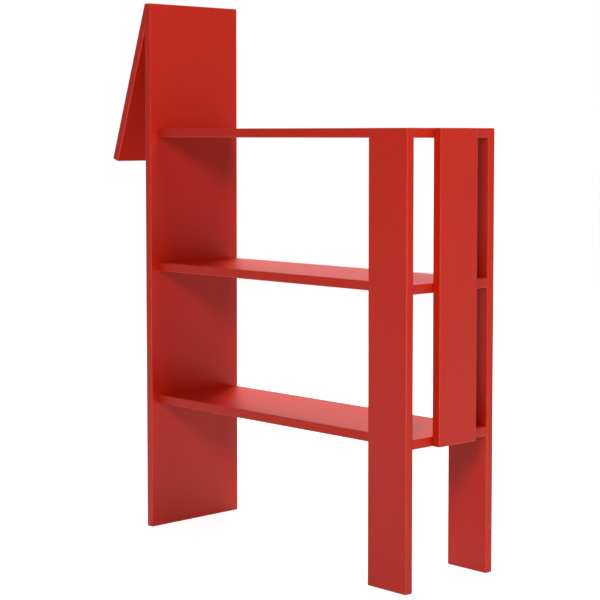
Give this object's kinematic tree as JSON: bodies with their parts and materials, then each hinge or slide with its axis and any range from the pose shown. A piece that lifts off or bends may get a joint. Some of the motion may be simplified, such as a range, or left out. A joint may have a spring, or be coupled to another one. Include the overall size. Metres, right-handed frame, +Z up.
{
  "type": "bookshelf",
  "caption": "Free-standing open bookshelf for a child's room in the shape of a horse, with a tall neck board, slanted muzzle, open shelves, hind legs and a tail board.",
  "frame": {"origin": "on the floor, under the middle of the overall length and depth", "axes": "+Z up; the horse faces -X, its left side is at -Y and its tail at +X"},
  "size_m": [0.8754, 0.24, 1.1],
  "materials": {
    "red_lacquered_mdf": "satin red lacquer on MDF",
    "nickel_plated_zinc": "nickel-plated zinc die casting",
    "zinc_plated_steel": "bright zinc-plated steel",
    "beech": "fluted raw beech"
  },
  "bodies": {
    "root": {"neck_board": "red_lacquered_mdf", "muzzle_board": "red_lacquered_mdf", "top_shelf": "red_lacquered_mdf", "middle_shelf": "red_lacquered_mdf", "bottom_shelf": "red_lacquered_mdf", "left_hind_leg": "red_lacquered_mdf", "right_hind_leg": "red_lacquered_mdf", "tail_board": "red_lacquered_mdf", "top_shelf_cam_locks": "nickel_plated_zinc", "middle_shelf_cam_locks": "nickel_plated_zinc", "bottom_shelf_cam_locks": "nickel_plated_zinc", "neck_cam_bolts": "zinc_plated_steel", "left_leg_cam_bolts": "zinc_plated_steel", "right_leg_cam_bolts": "zinc_plated_steel", "tail_cam_bolts": "zinc_plated_steel", "neck_dowels": "beech", "left_leg_dowels": "beech", "right_leg_dowels": "beech", "tail_dowels": "beech", "muzzle_dowels": "beech"}
  },
  "joints": []
}
